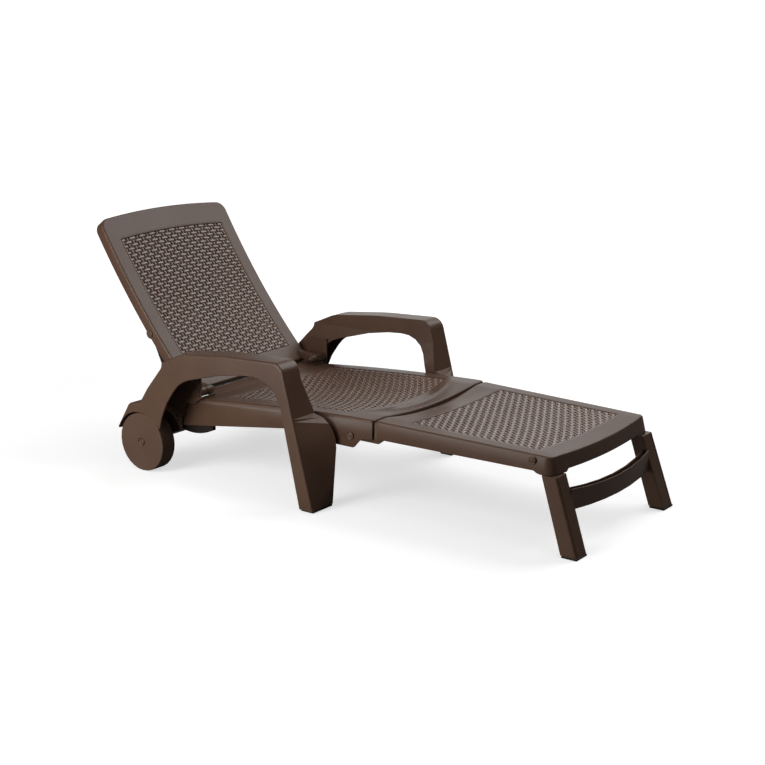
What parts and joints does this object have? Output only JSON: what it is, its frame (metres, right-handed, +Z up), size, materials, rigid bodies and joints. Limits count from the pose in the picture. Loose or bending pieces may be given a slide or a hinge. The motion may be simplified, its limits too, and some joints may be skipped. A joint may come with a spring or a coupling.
{
  "type": "sun lounger",
  "caption": "Moulded sun lounger with armrests, rear wheels, a reclining woven-pattern back and a footrest that folds under the seat.",
  "frame": {"origin": "on the floor, under the middle of the open lounger's bounding box", "axes": "+X towards the feet, +Y to the left of someone lying on it, +Z up"},
  "size_m": [1.7143, 0.7632, 0.7334],
  "materials": {
    "brown_resin": "satin",
    "dark_resin": "satin",
    "wheel_resin": "satin",
    "steel": "galvanised"
  },
  "bodies": {
    "base": {"seat_panel": "brown_resin", "wheel_axle": "steel", "arm_left": "brown_resin", "recline_rack_left": "dark_resin", "axle_washer_left": "steel", "hub_cap_left": "wheel_resin", "recline_pin_left": "brown_resin", "footrest_pin_left": "wheel_resin", "rear_arm_screw_left": "steel", "middle_arm_screw_left": "steel", "middle_foot_pad_left": "dark_resin", "arm_right": "brown_resin", "recline_rack_right": "dark_resin", "axle_washer_right": "steel", "hub_cap_right": "wheel_resin", "recline_pin_right": "brown_resin", "footrest_pin_right": "wheel_resin", "rear_arm_screw_right": "steel", "middle_arm_screw_right": "steel", "middle_foot_pad_right": "dark_resin"},
    "backrest": {"backrest_panel": "brown_resin", "stay_pin_left": "wheel_resin", "stay_pin_right": "wheel_resin"},
    "back_stay": {"back_stay": "dark_resin"},
    "footrest": {"footrest_panel": "brown_resin", "leg_pin_left": "wheel_resin", "leg_pin_right": "wheel_resin"},
    "front_legs": {"front_leg_frame": "brown_resin", "front_foot_pad_left": "dark_resin", "front_foot_pad_right": "dark_resin"},
    "wheel_left": {"wheel_left": "wheel_resin"},
    "wheel_right": {"wheel_right": "wheel_resin"}
  },
  "joints": [
    {"name": "back_recline", "type": "hinge", "parent": "base", "child": "backrest", "pos_m": [-0.4158, 0, 0.248], "axis": [0, 1, 0], "range_deg": [-54.4, 0]},
    {"name": "stay_swing", "type": "hinge", "parent": "backrest", "child": "back_stay", "pos_m": [-0.6268, 0, 0.394], "axis": [0, 1, 0], "range_deg": [-8.6, 0]},
    {"name": "footrest_fold", "type": "hinge", "parent": "base", "child": "footrest", "pos_m": [0.1492, 0, 0.21], "axis": [0, 1, 0], "range_deg": [0, 166]},
    {"name": "leg_fold", "type": "hinge", "parent": "footrest", "child": "front_legs", "pos_m": [0.7182, 0, 0.237], "axis": [0, 1, 0], "range_deg": [0, 92.1]},
    {"name": "wheel_roll_left", "type": "hinge", "parent": "base", "child": "wheel_left", "pos_m": [-0.5728, 0.349, 0.089], "axis": [0, 1, 0], "continuous": true},
    {"name": "wheel_roll_right", "type": "hinge", "parent": "base", "child": "wheel_right", "pos_m": [-0.5728, -0.349, 0.089], "axis": [0, 1, 0], "continuous": true}
  ],
  "couplings": [
    {"joint": "stay_swing", "follows": "back_recline", "ratio": 0.15717},
    {"joint": "leg_fold", "follows": "footrest_fold", "ratio": 0.55422}
  ]
}
